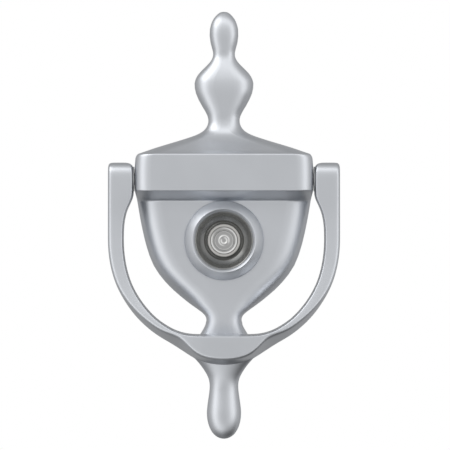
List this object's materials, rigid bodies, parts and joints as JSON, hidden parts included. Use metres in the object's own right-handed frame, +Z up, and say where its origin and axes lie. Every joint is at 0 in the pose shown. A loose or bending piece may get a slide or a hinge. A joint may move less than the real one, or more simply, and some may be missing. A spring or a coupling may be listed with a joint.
{
  "type": "door knocker",
  "caption": "Urn-shaped door knocker with a swinging ring handle, a through-door viewer with indoor privacy cover, and fixing bolts.",
  "frame": {"origin": "centre of the viewer bore on the door's outer face, which is the back plane of the gasket", "axes": "+Y points through the door to the indoor side, -Y to the visitor, +Z up, +X to the right as the visitor sees it"},
  "size_m": [0.0898, 0.0754, 0.1663],
  "materials": {
    "satin_casting": "satin chrome plate on cast zinc",
    "satin_handle": "satin chrome plate on cast zinc",
    "polished_bezel": "polished chrome plate",
    "viewer_metal": "nickel plated, turned",
    "indoor_metal": "satin nickel plate",
    "steel": "zinc plated steel",
    "nylon": "grey nylon",
    "lens_glass": "clear glass",
    "black_spacer": "matt black plastic",
    "gasket_foam": "thin closed-cell foam rubber"
  },
  "bodies": {
    "backplate": {"urn_backplate": "satin_casting", "door_gasket": "gasket_foam", "left_pivot_pin": "steel", "right_pivot_pin": "steel", "viewer_barrel": "viewer_metal", "viewer_bezel": "polished_bezel", "lens_retaining_ring": "polished_bezel", "front_lens": "lens_glass", "front_lens_spacer": "black_spacer", "second_lens": "lens_glass", "rear_lens_spacer": "black_spacer", "third_lens": "lens_glass", "fixing_bolts": "steel", "cup_washers": "indoor_metal", "bolt_caps": "indoor_metal"},
    "handle": {"knocker_handle": "satin_handle", "left_pivot_bush": "nylon", "right_pivot_bush": "nylon"},
    "eyepiece": {"eyepiece_tube": "viewer_metal", "eyepiece_lens": "lens_glass", "eyepiece_lens_ring": "viewer_metal", "cover_rose": "indoor_metal", "cover_rivet": "indoor_metal", "cover_washer": "steel"},
    "cover": {"privacy_cover": "indoor_metal"}
  },
  "joints": [
    {"name": "handle_swing", "type": "hinge", "parent": "backplate", "child": "handle", "pos_m": [0, -0.0115, 0.0238], "axis": [-1, 0, 0], "range_deg": [0, 160]},
    {"name": "eyepiece_travel", "type": "slide", "parent": "backplate", "child": "eyepiece", "axis": [0, 1, 0], "range_m": [-0.006, 0.014]},
    {"name": "cover_swing", "type": "hinge", "parent": "eyepiece", "child": "cover", "pos_m": [0, 0.0473, 0.0126], "axis": [0, 1, 0], "range_deg": [-110, 110]}
  ]
}
